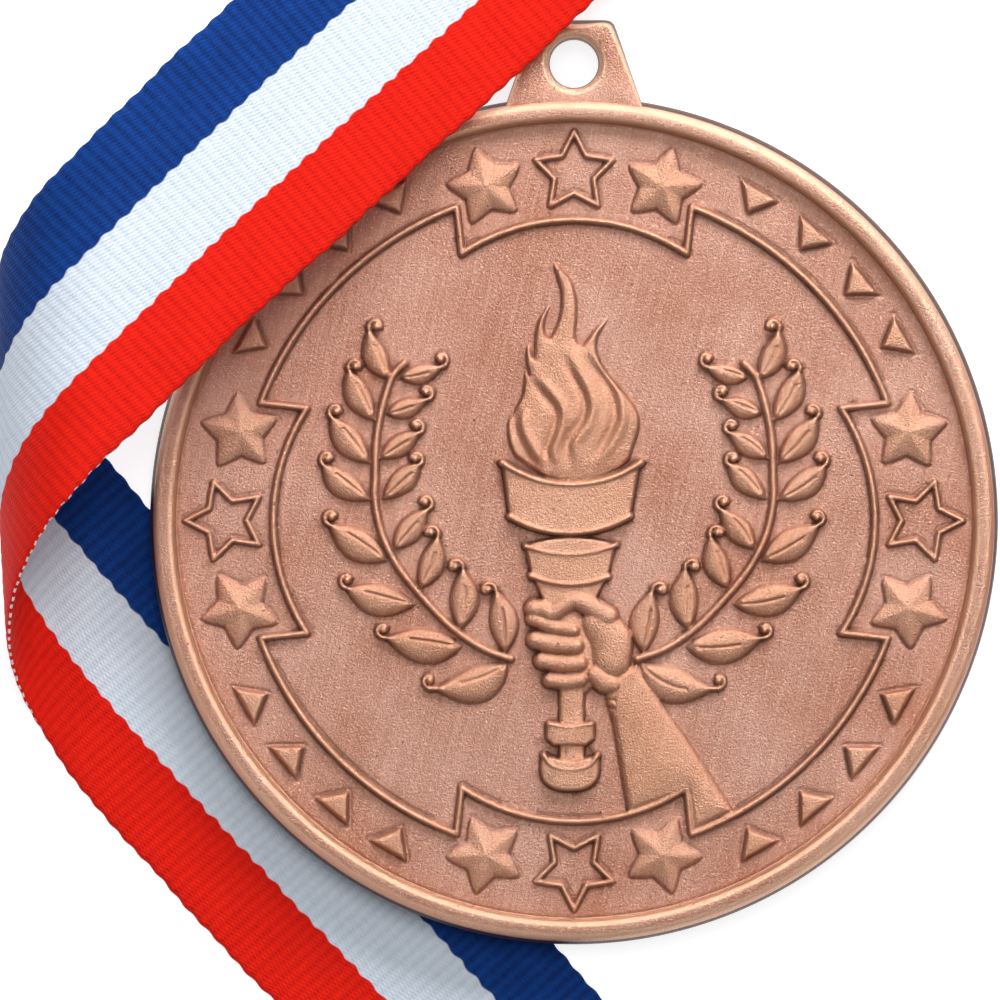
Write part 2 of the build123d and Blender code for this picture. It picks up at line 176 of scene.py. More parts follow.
def ridge(path, half_width, height, moat=0.0):
    """Round-topped line along a path, with a pressed groove along both sides."""
    index = near(path, half_width + 1.0)
    dist = np.abs(path_distance(X[index], Y[index], path)[0])
    raise_to(index, height * np.sqrt(np.clip(1 - (dist / half_width) ** 2, 0, 1)))
    if moat:
        edge = np.exp(-((dist - half_width - 0.12) / 0.13) ** 2) * (HEIGHT[index] < 0.05)
        HEIGHT[index] -= moat * edge


def groove(path, half_width, depth):
    """A V cut along a path, fading at both of its ends."""
    index = near(path, half_width * 3)
    dist, where = path_distance(X[index], Y[index], path)
    fade = np.clip(np.minimum(where, 1 - where) * 8, 0, 1)
    HEIGHT[index] -= depth * fade * np.exp(-(dist / half_width) ** 2) * (HEIGHT[index] > 0.05)


def limb(path, radii, height):
    """A finger or arm: round in section, its radius running from the first to the last of radii."""
    index = near(path, max(radii) + 0.1)
    dist, where = path_distance(X[index], Y[index], path)
    radius = np.interp(where, np.linspace(0, 1, len(radii)), radii)
    raise_to(index, height * np.clip(1 - (dist / radius) ** 2, 0, 1) ** 0.42)


def arc_points(centre, radius, start, end, count=24):
    angles = np.radians(np.linspace(start, end, count))
    return np.stack([centre[0] + radius * np.cos(angles), centre[1] + radius * np.sin(angles)], axis=1)


def arc_through(a, b, c, count=24):
    """Points on the arc from a through b to c."""
    (ax, ay), (bx, by), (cx, cy) = a, b, c
    d = 2 * (ax * (by - cy) + bx * (cy - ay) + cx * (ay - by))
    aa, bb, cc = ax ** 2 + ay ** 2, bx ** 2 + by ** 2, cx ** 2 + cy ** 2
    ux = (aa * (by - cy) + bb * (cy - ay) + cc * (ay - by)) / d
    uy = (aa * (cx - bx) + bb * (ax - cx) + cc * (bx - ax)) / d
    start = math.degrees(math.atan2(ay - uy, ax - ux))
    mid = (math.degrees(math.atan2(by - uy, bx - ux)) - start) % 360
    end = (math.degrees(math.atan2(cy - uy, cx - ux)) - start) % 360
    if mid > end:
        end -= 360
    return arc_points((ux, uy), math.hypot(ax - ux, ay - uy), start, start + end, count)


def star_outline(centre, r_out, r_in, up):
    return [(centre[0] + polar(r_in if i % 2 else r_out, up + 36 * i)[0],
             centre[1] + polar(r_in if i % 2 else r_out, up + 36 * i)[1]) for i in range(10)]


def frame_line():
    """The raised four-lobed line round the torch and laurel."""
    foot_r, lobe_r, shoulder_r = 23.9, 24.8, 27.6
    foot_turn, corner_turn = 22.8, 20.6
    for axis in range(0, 360, 90):
        low, high = polar(foot_r, axis - foot_turn), polar(foot_r, axis + foot_turn)
        corner = polar(shoulder_r - 0.1, axis + corner_turn)
        lobe = arc_through(low, polar(lobe_r, axis), high)
        shoulder = arc_points((0, 0), shoulder_r, axis + corner_turn, axis + 90 - corner_turn, 40)
        foot = polar(foot_r, axis + 90 - foot_turn)
        ridge(np.vstack([lobe, [high, corner], shoulder, [foot]]), 0.29, 0.52, moat=0.09)


def line_star(axis):
    """Star drawn as a raised line."""
    outline = star_outline(polar(LINE_STAR_R, axis), 3.35, 1.7, axis)
    ridge(outline + [outline[0]], 0.23, 0.40, moat=0.08)


def soft_star(axis):
    """Star of ten sloping facets, worn soft."""
    cx, cy = polar(SOFT_STAR_R, axis)
    index = near([(cx, cy)], 4.2)
    dx, dy = X[index] - cx, Y[index] - cy
    r = np.hypot(dx, dy)
    turn = np.degrees(np.arctan2(dy, dx)) - axis
    phase = np.radians(np.sqrt(((turn + 36) % 72 - 36) ** 2 + 22))
    tip, notch = 3.75, 1.95
    nx, ny = notch * math.cos(math.pi / 5), notch * math.sin(math.pi / 5)
    edge = tip * ny / (np.cos(phase) * ny + np.sin(phase) * (tip - nx))
    level = np.clip(1 - r / edge, 0, 1)
    raise_to(index, np.where(level > 0, 0.14 + 0.60 * level ** 0.72, 0))
    foot = (edge - r) * (level <= 0)
    HEIGHT[index] -= 0.07 * np.exp(-((foot + 0.16) / 0.12) ** 2) * (foot < 0)


def wedge(angle):
    """Small triangle, its broad side outwards."""
    cx, cy = polar(WEDGE_R, angle)
    ox, oy = polar(1, angle)
    corners = [(cx + 0.78 * ox - s * 1.85 * oy, cy + 0.78 * oy + s * 1.85 * ox) for s in (-1, 1)]
    corners.append((cx - 1.5 * ox, cy - 1.5 * oy))
    index = near(corners, 0.5)
    depth = depth_inside(X[index], Y[index], corners)
    raise_to(index, 0.5 * np.clip(depth / 0.22, 0, 1) + 0.04 * np.clip(depth / 0.6, 0, 1))
    HEIGHT[index] -= 0.10 * np.exp(-((depth + 0.14) / 0.12) ** 2) * (depth < 0)


STEM = [(5.2, -11.4), (7.6, -10.5), (10.2, -8.7), (12.6, -6.2), (14.5, -3.8), (15.8, -1.2), (16.4, 1.5),
        (16.4, 3.5), (16.3, 6.6), (15.9, 9.0), (15.2, 11.4), (14.7, 12.3), (14.0, 13.0)]
# each leaf: foot on the stem, middle of the blade, centre of the curl
# the outer leaves curl one way, the inner ones the other
OUTER_LEAVES = [
    ((15.2, 11.7), (16.3, 13.7), (16.3, 16.0)), ((16.4, 8.2), (17.8, 10.6), (18.0, 12.7)),
    ((16.8, 4.7), (18.7, 6.9), (19.6, 9.0)), ((16.8, 1.7), (19.2, 3.3), (20.3, 5.1)),
    ((15.4, -3.3), (18.0, -1.7), (20.0, 0.3)), ((13.1, -6.9), (16.4, -6.3), (18.7, -4.9)),
    ((9.2, -10.4), (12.6, -10.1), (15.7, -9.0)), ((5.5, -11.8), (8.3, -13.4), (11.9, -13.2))]
INNER_LEAVES = [
    ((14.3, 11.8), (12.6, 12.2), (11.0, 13.3)), ((15.4, 8.8), (13.8, 9.4), (12.2, 10.6)),
    ((16.0, 5.1), (14.3, 6.4), (13.0, 7.8)), ((15.8, 1.7), (14.0, 3.6), (13.1, 5.1)),
    ((14.8, -2.4), (13.5, -0.5), (12.3, 1.5)), ((12.7, -5.6), (11.8, -3.3), (11.8, -1.0)),
    ((9.4, -9.0), (9.2, -6.2), (9.8, -3.8)), ((5.7, -10.9), (6.0, -8.1), (7.1, -5.7))]


def leaf(foot, middle, curl, turn):
    """Crowned blade with a thin vein, whose pointed tip rolls up round a small ball."""
    foot, middle, curl = (np.array(p, dtype=float) for p in (foot, middle, curl))
    way = curl - middle
    way /= np.hypot(*way)
    hook = 0.62
    end = curl + hook * turn * np.array([way[1], -way[0]])
    control = 2 * middle - 0.5 * (foot + end)
    u = np.linspace(0, 1, 26)[:, None]
    spine = (1 - u) ** 2 * foot + 2 * u * (1 - u) * control + u ** 2 * end
    size = np.hypot(*(end - foot))
    index = near(spine, 2.4)
    dist, where = path_distance(X[index], Y[index], spine)
    half = 0.215 * size * np.sin(math.pi * np.clip(where * 1.1, 0, 1) ** 0.95) ** 0.9 + 0.20 * where ** 2
    half *= 1 - 0.15 * turn * np.sign(dist)
    crown = np.clip(1 - (dist / np.maximum(half, 0.02)) ** 2, 0, 1)
    blade = 0.62 * crown ** 0.5 * np.clip(where * 7 + 0.25, 0, 1)
    vein = np.exp(-((dist + 0.04 * size * np.sin(where * 3)) / 0.075) ** 2) * np.clip(where * 6, 0, 1)
    blade -= 0.22 * vein * (where < 0.66) * (crown > 0.3)
    raise_to(index, np.where(crown > 0, blade, 0))
    start = math.degrees(math.atan2(*(end - curl)[::-1]))
    sweep = np.radians(start + turn * np.linspace(-22, 205, 16))
    radius = np.linspace(hook + 0.02, 0.34, 16)
    roll = np.stack([curl[0] + radius * np.cos(sweep), curl[1] + radius * np.sin(sweep)], axis=1)
    limb(roll, (0.21, 0.20, 0.19), 0.56)
    limb(np.array([curl, curl + 0.01]), (0.34, 0.34), 0.74)


def wreath():
    """Two laurel branches, mirror images of each other."""
    for mirror in (1, -1):
        flip = np.array([mirror, 1.0])
        ridge(smooth_path(np.array(STEM) * flip), 0.31, 0.50, moat=0.06)
        for turn, leaves in ((mirror, OUTER_LEAVES), (-mirror, INNER_LEAVES)):
            for points in leaves:
                leaf(*(np.array(p) * flip for p in points), turn)


FLAME = [(-4.3, 4.9), (-4.95, 5.4), (-5.45, 6.7), (-5.5, 8.1), (-4.95, 9.1), (-4.3, 10.4), (-4.05, 12.3),
         (-3.75, 12.0), (-4.0, 13.3), (-3.8, 14.6), (-3.3, 13.4), (-3.25, 15.2), (-2.9, 16.6), (-2.0, 17.8),
         (-2.35, 16.7), (-2.4, 15.6), (-2.0, 15.1), (-1.4, 16.3), (-1.1, 17.6), (-1.15, 19.0), (-1.7, 21.2),
         (-0.3, 19.9), (0.2, 18.3), (0.25, 16.8), (0.15, 15.1), (0.7, 14.5), (1.6, 15.7), (2.8, 16.7),
         (2.0, 15.2), (1.9, 14.0), (2.35, 12.7), (3.5, 11.2), (4.7, 9.9), (5.35, 8.7), (5.35, 7.5),
         (4.95, 6.2), (4.2, 4.6), (2.2, 3.5), (0.0, 3.1), (-2.3, 3.5)]
FLAME_FOLDS = [
    [(-3.8, 12.2), (-2.4, 10.7), (-1.2, 9.0), (-1.5, 7.2), (-2.0, 5.7), (-1.5, 4.2)],
    [(-0.85, 14.1), (0.2, 12.0), (1.2, 9.8), (0.9, 8.1), (-0.2, 6.4), (0.0, 4.0)],
    [(0.9, 14.1), (2.0, 12.6), (3.3, 10.7), (3.7, 8.5), (2.8, 6.4), (1.5, 4.6)],
    [(-4.3, 9.4), (-4.5, 7.7), (-3.6, 5.7), (-2.4, 4.3)]]


def flame():
    outline = smooth_path(FLAME, 4)
    index = near(outline, 0.3)
    depth = np.clip(depth_inside(X[index], Y[index], outline), 0, None)
    body = 0.34 * np.clip(depth / 0.22, 0, 1) ** 0.6 + 0.30 * (1 - np.exp(-depth / 1.0))
    raise_to(index, np.where(depth > 0, body, 0))
    for points in FLAME_FOLDS:
        path = smooth_path(points)
        spots = near(path, 1.4)
        signed, where = path_distance(X[spots], Y[spots], path)
        fade = np.clip(np.minimum(where, 1 - where) * 5, 0, 1) * (HEIGHT[spots] > 0.1)
        fold = signed / 0.36 * np.exp(0.5 - 0.5 * (signed / 0.36) ** 2)
        HEIGHT[spots] += 0.21 * fade * fold


def barrel(outline, height, bulge=0.35):
    """A turned part seen from its side: highest along its middle."""
    index = near(outline, 0.1)
    x, y = X[index], Y[index]
    depth = depth_inside(x, y, outline)
    low, high = np.min(outline, axis=0), np.max(outline, axis=0)
    middle, half = (low[0] + high[0]) / 2, (high[0] - low[0]) / 2
    round_over = np.sqrt(np.clip(1 - ((x - middle) / (half * 1.04)) ** 2, 0, 1))
    body = height * (1 - bulge + bulge * round_over) * np.clip(depth / 0.18, 0, 1) ** 0.6
    raise_to(index, np.where(depth > 0, body, 0))


def torch():
    """Bowl, collar, handle and pommel, with a raised line along each edge."""
    bowl = np.vstack([arc_through((-6.0, 4.8), (-0.3, 3.3), (5.5, 4.8)), [(4.7, 0.4)],
                      arc_through((4.6, 0.3), (-0.3, -1.1), (-5.4, 0.2))])
    barrel(bowl, 0.80)
    ridge(arc_through((-5.9, 4.75), (-0.3, 2.95), (5.45, 4.75)), 0.36, 0.95)
    ridge(arc_through((-5.3, 0.35), (-0.3, -1.0), (4.6, 0.4)), 0.32, 0.90)
    collar = np.vstack([arc_through((-4.1, -2.0), (-0.3, -1.3), (3.5, -1.9)), [(2.9, -4.4)],
                        arc_through((2.8, -4.6), (-0.3, -5.3), (-3.6, -4.5))])
    barrel(collar, 0.74)
    ridge(arc_through((-4.0, -2.1), (-0.3, -2.8), (3.45, -2.0)), 0.28, 0.86)
    ridge(arc_through((-3.6, -4.5), (-0.3, -5.25), (2.8, -4.6)), 0.30, 0.86)
    barrel([(-3.3, -5.0), (2.6, -5.0), (1.5, -7.2), (-2.4, -7.2)], 0.60)
    barrel([(-1.3, -13.4), (0.9, -13.4), (0.9, -20.2), (-1.3, -20.2)], 0.58, 0.6)
    barrel([(-2.35, -16.5), (-0.3, -16.8), (1.7, -16.5), (1.75, -18.0), (1.0, -18.6), (-1.7, -18.6),
            (-2.4, -18.0)], 0.82)
    ridge([(-2.1, -16.75), (-0.3, -17.05), (1.45, -16.75)], 0.26, 0.88)
    pommel = [(-2.6, -19.4), (-1.9, -19.4), (-0.3, -19.7), (1.3, -19.4), (2.0, -19.4), (2.15, -20.2),
              (1.95, -21.4), (1.0, -22.15), (-0.35, -22.35), (-1.7, -22.15), (-2.65, -21.4), (-2.85, -20.2)]
    barrel(smooth_path(pommel, 4, closed=True), 0.90)
    lip = [(-2.5, -19.35), (-1.8, -20.2), (-0.3, -20.55), (1.2, -20.2), (1.9, -19.35)]
    ridge(smooth_path(lip, 6), 0.30, 0.98)


FOREARM = [(2.5, -14.6), (3.1, -16.5), (3.65, -19.8), (4.4, -24.2), (9.25, -22.5), (9.75, -25.7),
           (13.2, -24.0), (9.85, -18.7), (7.65, -15.6), (5.2, -11.8), (3.4, -12.6)]


def hand():
    """A plain fist round the handle, on a forearm that runs down to the frame line."""
    index = near(FOREARM, 0.2)
    depth = depth_inside(X[index], Y[index], FOREARM)
    body = 0.42 * np.clip(depth / 0.5, 0, 1) ** 0.5 + 0.30 * (1 - np.exp(-np.clip(depth, 0, None) / 1.6))
    raise_to(index, np.where(depth > 0, body, 0))
    limb(smooth_path([(2.0, -8.5), (3.0, -9.9), (3.1, -11.5)], 6), (1.45, 1.85, 1.6), 0.88)
    limb(smooth_path([(1.8, -12.7), (2.5, -13.3), (3.2, -13.5)], 4), (0.85, 1.0, 0.8), 0.80)
    for y in (-14.7, -15.4):
        groove([(2.4, y), (3.5, y - 0.15)], 0.14, 0.16)
    limb(smooth_path([(-1.2, -8.3), (-0.3, -10.5), (0.2, -13.0)], 6), (1.9, 2.3, 1.5), 0.50)
    limb(smooth_path([(-3.4, -8.1), (-1.6, -8.75), (0.0, -9.05)], 6), (0.66, 0.70, 0.56), 0.84)
    limb(smooth_path([(-3.2, -9.85), (-1.6, -10.2), (0.15, -10.3)], 6), (0.80, 0.88, 0.76), 0.96)
    limb(smooth_path([(-2.65, -11.55), (-1.0, -11.8), (0.45, -11.75)], 6), (0.74, 0.82, 0.74), 0.94)
    limb(smooth_path([(-2.0, -13.15), (-0.6, -13.3), (0.5, -13.15)], 6), (0.68, 0.76, 0.68), 0.92)
    limb(smooth_path([(-3.3, -7.25), (-2.5, -7.3), (-1.9, -7.65), (-1.0, -7.1), (0.1, -6.55), (1.4, -7.1),
                      (2.7, -7.9)], 6), (0.85, 0.78, 0.85, 1.0), 0.98)


def make_relief():
    frame_line()
    for axis in range(0, 360, 90):
        line_star(axis)
        for side in (-STAR_TURN, STAR_TURN):
            soft_star(axis + side)
        for step in (-1.5, -0.5, 0.5, 1.5):
            wedge(axis + 45 + step * WEDGE_TURN)
    wreath()
    flame()
    torch()
    hand()


make_relief()


def soften(values, passes):
    """Average each grid point with its neighbours."""
    grid = values.reshape(CELLS + 1, CELLS + 1)
    for _ in range(passes):
        padded = np.pad(grid, 1, mode="edge")
        grid = (padded[:-2, 1:-1] + padded[2:, 1:-1] + padded[1:-1, :-2] + padded[1:-1, 2:] + 2 * grid) / 6
    return grid.ravel()


def value_noise(x, y, scale, seed):
    """Smooth random field with lumps of a given size."""
    lattice = np.random.default_rng(seed).random((160, 160))
    u, v = x / scale + 80, y / scale + 80
    i, j = np.floor(u).astype(int), np.floor(v).astype(int)
    fu, fv = u - i, v - j
    fu, fv = fu * fu * (3 - 2 * fu), fv * fv * (3 - 2 * fv)
    i, j = i % 159, j % 159
    top = lattice[i, j] * (1 - fu) + lattice[i + 1, j] * fu
    low = lattice[i, j + 1] * (1 - fu) + lattice[i + 1, j + 1] * fu
    return top * (1 - fv) + low * fv - 0.5


def medal_face():
    """The struck face: relief on the field, closed underneath."""
    relief = RELIEF_GAIN * soften(HEIGHT, 1)
    relief += 0.02 * value_noise(X, Y, 2.2, 1) + 0.010 * value_noise(X, Y, 0.5, 2)
    radius = np.hypot(X, Y)
    relief -= 0.16 * np.exp(-((radius - INNER_R) / 0.22) ** 2)
    cavity = soften(HEIGHT, 1) - soften(HEIGHT, 14)
    verts = np.stack([X, Y - HOLE_UP, FIELD_Z + relief], axis=1)
    faces = grid_faces(CELLS + 1, CELLS + 1)
    edge = np.arange((CELLS + 1) ** 2).reshape(CELLS + 1, CELLS + 1)
    loop = np.concatenate([edge[0, :-1], edge[:-1, -1], edge[-1, :0:-1], edge[:0:-1, 0]])
    under = verts[loop] * [1, 1, 0] + [0, 0, FIELD_Z - 0.5]
    verts = np.vstack([verts, under])
    base = (CELLS + 1) ** 2 + np.arange(len(loop))
    skirt = np.stack([loop, base, np.roll(base, -1), np.roll(loop, -1)], axis=1)
    faces = faces.tolist() + skirt.tolist() + [base.tolist()[::-1]]
    mesh = bpy.data.meshes.new("medal_face")
    mesh.from_pydata((verts * MM).tolist(), [], faces)
    fill = np.zeros(len(loop))
    for key, values in (("relief", relief), ("cavity", cavity)):
        data = np.concatenate([values, fill]).astype(np.float32)
        mesh.attributes.new(key, "FLOAT", "POINT").data.foreach_set("value", data)
    mesh.polygons.foreach_set("use_smooth", [True] * len(mesh.polygons))
    mesh.update()
    obj = bpy.data.objects.new("medal_face", mesh)
    bpy.context.scene.collection.objects.link(obj)
    reduce = obj.modifiers.new("reduce", "DECIMATE")
    reduce.ratio = THINNED / (2 * CELLS ** 2)
    apply_modifiers(obj)
    return obj


# ------------------------------------------------------------------ the medal's rim, side, back and tab
def lathe(profile, turns):
    """A ring of points for each angle, from a closed profile of (radius, height)."""
    profile = np.asarray(profile, dtype=float)
    angles = np.linspace(0, 2 * math.pi, turns, endpoint=False)
    verts = [[r * math.cos(a), r * math.sin(a) - HOLE_UP, z] for a in angles for r, z in profile]
    return verts, grid_faces(turns, len(profile), wrap_rows=True, wrap_cols=True)


def rim_profile():
    """Section of the rim: rounded bead, drafted side, raised back rim."""
    top = [(INNER_R - 0.7, FIELD_Z - 0.3), (INNER_R - 0.2, FIELD_Z - 0.14), (INNER_R + 0.02, FIELD_Z + 0.05)]
    crown = [(INNER_R + 0.06, FIELD_Z + 0.5), (INNER_R + 0.14, FIELD_Z + 0.88),
             (INNER_R + 0.32, HALF_T - 0.09), (INNER_R + 0.65, HALF_T), (INNER_R + 1.15, HALF_T - 0.05),
             (INNER_R + 1.48, HALF_T - 0.22), (INNER_R + 1.72, HALF_T - 0.55), (INNER_R + 1.80, HALF_T - 1.0)]
    side = [(DISC_R - 0.30, 0.75), (DISC_R - 0.12, 0.35), (DISC_R, -0.1), (DISC_R, -1.0),
            (DISC_R - 0.08, -1.4)]
    back = [(DISC_R - 0.3, -1.75), (DISC_R - 0.75, -1.95), (DISC_R - 1.3, -HALF_T), (INNER_R + 0.35, -1.88),
            (INNER_R + 0.05, BACK_Z - 0.1), (INNER_R - 0.3, BACK_Z)]
    return top + crown + side + back


def medal_rim():
    profile = rim_profile()
    turns = 320
    back_in = [(24.0, BACK_Z), (23.8, BACK_Z - 0.12), (23.4, BACK_Z - 0.12), (23.2, BACK_Z), (12.0, BACK_Z),
               (0.4, BACK_Z), (0.4, FIELD_Z - 0.3)]
    verts, faces = lathe(profile + back_in, turns)
    verts = np.array(verts)
    flat = np.hypot(verts[:, 0], verts[:, 1] + HOLE_UP)
    verts[:, 2] += 0.015 * value_noise(verts[:, 0], verts[:, 1], 1.6, 3) * (flat > INNER_R)
    facing = np.clip((verts[:, 0] * 0.6 + (verts[:, 1] + HOLE_UP) * 0.8) / DISC_R, 0, 1) ** 2
    pull = 0.16 * facing * np.clip(verts[:, 2], 0, 1) * np.clip(flat - INNER_R - 0.2, 0, 1)
    verts[:, 0] *= 1 - pull / DISC_R
    verts[:, 1] = (verts[:, 1] + HOLE_UP) * (1 - pull / DISC_R) - HOLE_UP
    return new_object("medal_rim", verts, faces)


def tab_outline(angle):
    """Distance from the hole's centre to the tab's edge in one direction."""
    dx, dy = math.cos(angle), math.sin(angle)
    foot = 33.6 - HOLE_UP
    best = 1e9
    if dy > 1e-6:
        best = min(best, TAB_RISE / dy)
    if dy < -1e-6:
        best = min(best, foot / dy)
    slope = (TAB_TOP - TAB_BASE) / (TAB_RISE - foot)
    for side in (1, -1):
        rate = side * dx - slope * dy
        if rate > 1e-6:
            best = min(best, (TAB_TOP - slope * TAB_RISE) / rate)
    return best


def medal_tab():
    """The pierced tab: a ring of sections round the hole."""
    turns = 280
    angles = np.linspace(0, 2 * math.pi, turns, endpoint=False)
    reach = np.array([tab_outline(a) for a in angles])
    for _ in range(16):
        smooth = (np.roll(reach, 1) + reach + np.roll(reach, -1)) / 3
        reach = np.where(np.sin(angles) > 0.1, smooth, reach)
    verts = []
    for a, out in zip(angles, reach):
        hole = [(HOLE_R, -0.9), (HOLE_R, 0.2), (HOLE_R + 0.05, 0.7), (HOLE_R + 0.22, 1.08),
                (HOLE_R + 0.45, TAB_HALF_T - 0.08), (HOLE_R + 0.68, TAB_HALF_T)]
        k = 0.45 + 0.85 * max(0.0, math.sin(a)) ** 2
        edge = [(out - 0.35 - 0.37 * k, TAB_HALF_T), (out - 0.15 - 0.37 * k, TAB_HALF_T - 0.05),
                (out - 0.34 * k, TAB_HALF_T - 0.30), (out - 0.28 * k, TAB_HALF_T - 0.7), (out - 0.1 * k, 0.2),
                (out, -0.2), (out, -TAB_HALF_T + 0.5),
                (out - 0.12, -TAB_HALF_T + 0.2), (out - 0.5, -TAB_HALF_T), (HOLE_R + 0.6, -TAB_HALF_T),
                (HOLE_R + 0.15, -TAB_HALF_T + 0.2)]
        verts += [[r * math.cos(a), r * math.sin(a), z] for r, z in hole + edge]
    return new_object("medal_tab", verts, grid_faces(turns, 17, wrap_rows=True, wrap_cols=True))


# ------------------------------------------------------------------ ribbon: the strip of the CAD, woven
RIBBON_W, RIBBON_T, RIBBON_LEN = 20.0, 0.5, 800.0
LANE_X = 48.0
UNDER_Z = TABLE_Z + RIBBON_T / 2
LAYER = RIBBON_T + 0.05
OVER_HEADING, UNDER_HEADING, LANE_HEADING = 223.5, 311.8, 90.0
RIDE_Z = HALF_T + RIBBON_T / 2 + 0.4
JOINT_Y = 103.0 - HOLE_UP
RAMP_FROM, RAMP_TURN = 28.0, 27
CLIMB_R, CLIMB_TURN = 12.0, 14
LOOP_TOP_R, LOOP_LOW_R = 7.5, 5.7
FOLD_R, TURN_R, LOOP_R = 0.8, 0.7, 1.35
CORNER_LEN, FOLD_CLEAR = 13.0, 15.0
DROP_TURN, STEP_TURN, FLAP_TURN = 20, 26, 22
LANE_LOW = -77.0 - HOLE_UP
FLAP_LEN = 17.0
BAR_Y = 114.5 - HOLE_UP
BOX, STITCHES = 14.0, 5       # stitched square, stitches to a side
RIB, WARP = 0.93, 0.31        # pitch of the weave's ribs, and of its warp threads
RIB_H = 0.045                 # how far a rib stands out
SCALLOP = 0.13                # how far the edge draws in between ribs
BENT_RUN = (130, 164)         # stretch whose red selvedge shows its weft loops
LEAN = 2.1                    # how far the soft bend leans in on its red side
SAG = 1.1                     # how far the upper strand bows upwards beside the medal


def arc(radius, turn):
    """One bent run of a profile: its length, and its turn in degrees."""
    return math.radians(abs(turn)) * radius, turn


def length_of(profile):
    return sum(length for length, turn in profile)


def along(profile, distance):
    """Forward and upward positions at distances along a profile of runs and arcs."""
    forward, up = np.array(distance, dtype=float), np.zeros_like(distance)
    at_forward = at_up = heading = passed = 0.0
    for length, turn in profile + [(1e6, 0)]:
        step = np.clip(distance - passed, 0, length)
        angle = math.radians(turn) * step / length
        chord = step if turn == 0 else 2 * length / math.radians(abs(turn)) * np.sin(np.abs(angle) / 2)
        here = distance >= passed
        forward = np.where(here, at_forward + chord * np.cos(heading + angle / 2), forward)
        up = np.where(here, at_up + chord * np.sin(heading + angle / 2), up)
        full = math.radians(turn)
        chord = length if turn == 0 else 2 * length / abs(full) * math.sin(abs(full) / 2)
        at_forward += chord * math.cos(heading + full / 2)
        at_up += chord * math.sin(heading + full / 2)
        heading += full
        passed += length
    return forward, up


def strip_points(start, heading, ruling, profile, s, t):
    """Middle of the ribbon at lengths s and widths t past a start point, wrapped over a profile."""
    h, g = math.radians(heading), math.radians(ruling)
    east, north = s * math.cos(h) - t * math.sin(h), s * math.sin(h) + t * math.cos(h)
    across, ahead = (math.cos(g), math.sin(g)), (math.sin(g), -math.cos(g))
    if math.cos(h) * ahead[0] + math.sin(h) * ahead[1] < 0:
        ahead = (-ahead[0], -ahead[1])
    distance = east * ahead[0] + north * ahead[1]
    side = east * across[0] + north * across[1]
    forward, up = along(profile, distance)
    return np.stack([start[0] + side * across[0] + forward * ahead[0],
                     start[1] + side * across[1] + forward * ahead[1], start[2] + up], axis=-1)


def ribbon_route():
    """The ribbon's three wrapped stretches: start point, heading, ruling, profile and first length."""
    over_start = np.array([LANE_X + 2, JOINT_Y, UNDER_Z + LAYER])
    over_ruling = (OVER_HEADING + UNDER_HEADING) / 2
    ramp_r = (RIDE_Z - over_start[2]) / 2 / (1 - math.cos(math.radians(RAMP_TURN)))
    rise = UNDER_Z + LOOP_TOP_R + LOOP_LOW_R - RIDE_Z
    rise -= (CLIMB_R + LOOP_TOP_R) * (1 - math.cos(math.radians(CLIMB_TURN)))
    over = [(RAMP_FROM, 0), arc(ramp_r, RAMP_TURN), arc(ramp_r, -RAMP_TURN), (4.0, 0),
            arc(CLIMB_R, CLIMB_TURN), (rise / math.sin(math.radians(CLIMB_TURN)), 0),
            arc(LOOP_TOP_R, -90 - CLIMB_TURN), arc(LOOP_LOW_R, -90)]
    slant = math.radians(OVER_HEADING - over_ruling + 90)
    bend_end = (length_of(over) + RIBBON_W / 2 * math.sin(slant)) / math.cos(slant) + 1
    fold_ruling = (UNDER_HEADING + LANE_HEADING - 360) / 2
    corner = [(5.0, 0), arc(FOLD_R, 180)]
    zero = np.zeros(1)
    bend_exit = strip_points(over_start, OVER_HEADING, over_ruling, over, zero + bend_end, zero)[0]
    trial = strip_points(bend_exit, UNDER_HEADING, fold_ruling, corner, zero + CORNER_LEN, zero)[0]
    fold_at = bend_end + (LANE_X - trial[0]) / math.cos(math.radians(UNDER_HEADING))
    fold_start = strip_points(over_start, OVER_HEADING, over_ruling, over, zero + fold_at, zero)[0]
    lane_start = strip_points(fold_start, UNDER_HEADING, fold_ruling, corner, zero + CORNER_LEN, zero)[0]
    drop_r = FOLD_R / (1 - math.cos(math.radians(DROP_TURN)))
    step_r = 2 * TURN_R / (1 - math.cos(math.radians(STEP_TURN)))
    flap_r = (LOOP_R - LAYER) / (1 - math.cos(math.radians(FLAP_TURN)))
    drop_span = 2 * drop_r * math.sin(math.radians(DROP_TURN))
    step_span = 2 * step_r * math.sin(math.radians(STEP_TURN))
    fixed = fold_at + CORNER_LEN + FLAP_LEN + length_of([arc(TURN_R, 180)] * 2 + [arc(LOOP_R, 180)])
    fixed += length_of([arc(drop_r, DROP_TURN), arc(step_r, STEP_TURN), arc(flap_r, FLAP_TURN)]) * 2
    spare = RIBBON_LEN - fixed - (BAR_Y - LANE_LOW) + step_span + drop_span - (LANE_LOW - lane_start[1])
    top = LANE_LOW + spare / 2
    lane = [(FOLD_CLEAR, 0), arc(drop_r, -DROP_TURN), arc(drop_r, DROP_TURN),
            (top - lane_start[1] - FOLD_CLEAR - drop_span, 0), arc(TURN_R, 180), (top - LANE_LOW, 0),
            arc(TURN_R, -180), (top + 3 - LANE_LOW, 0), arc(step_r, -STEP_TURN), arc(step_r, STEP_TURN),
            (BAR_Y - top - 3 - step_span, 0), arc(LOOP_R, 180), arc(flap_r, FLAP_TURN),
            arc(flap_r, -FLAP_TURN), (FLAP_LEN, 0)]
    return [(over_start, OVER_HEADING, over_ruling, over, 0.0),
            (fold_start, UNDER_HEADING, fold_ruling, corner, fold_at),
            (lane_start, LANE_HEADING, 0.0, lane, fold_at + CORNER_LEN)]


ROUTE = ribbon_route()


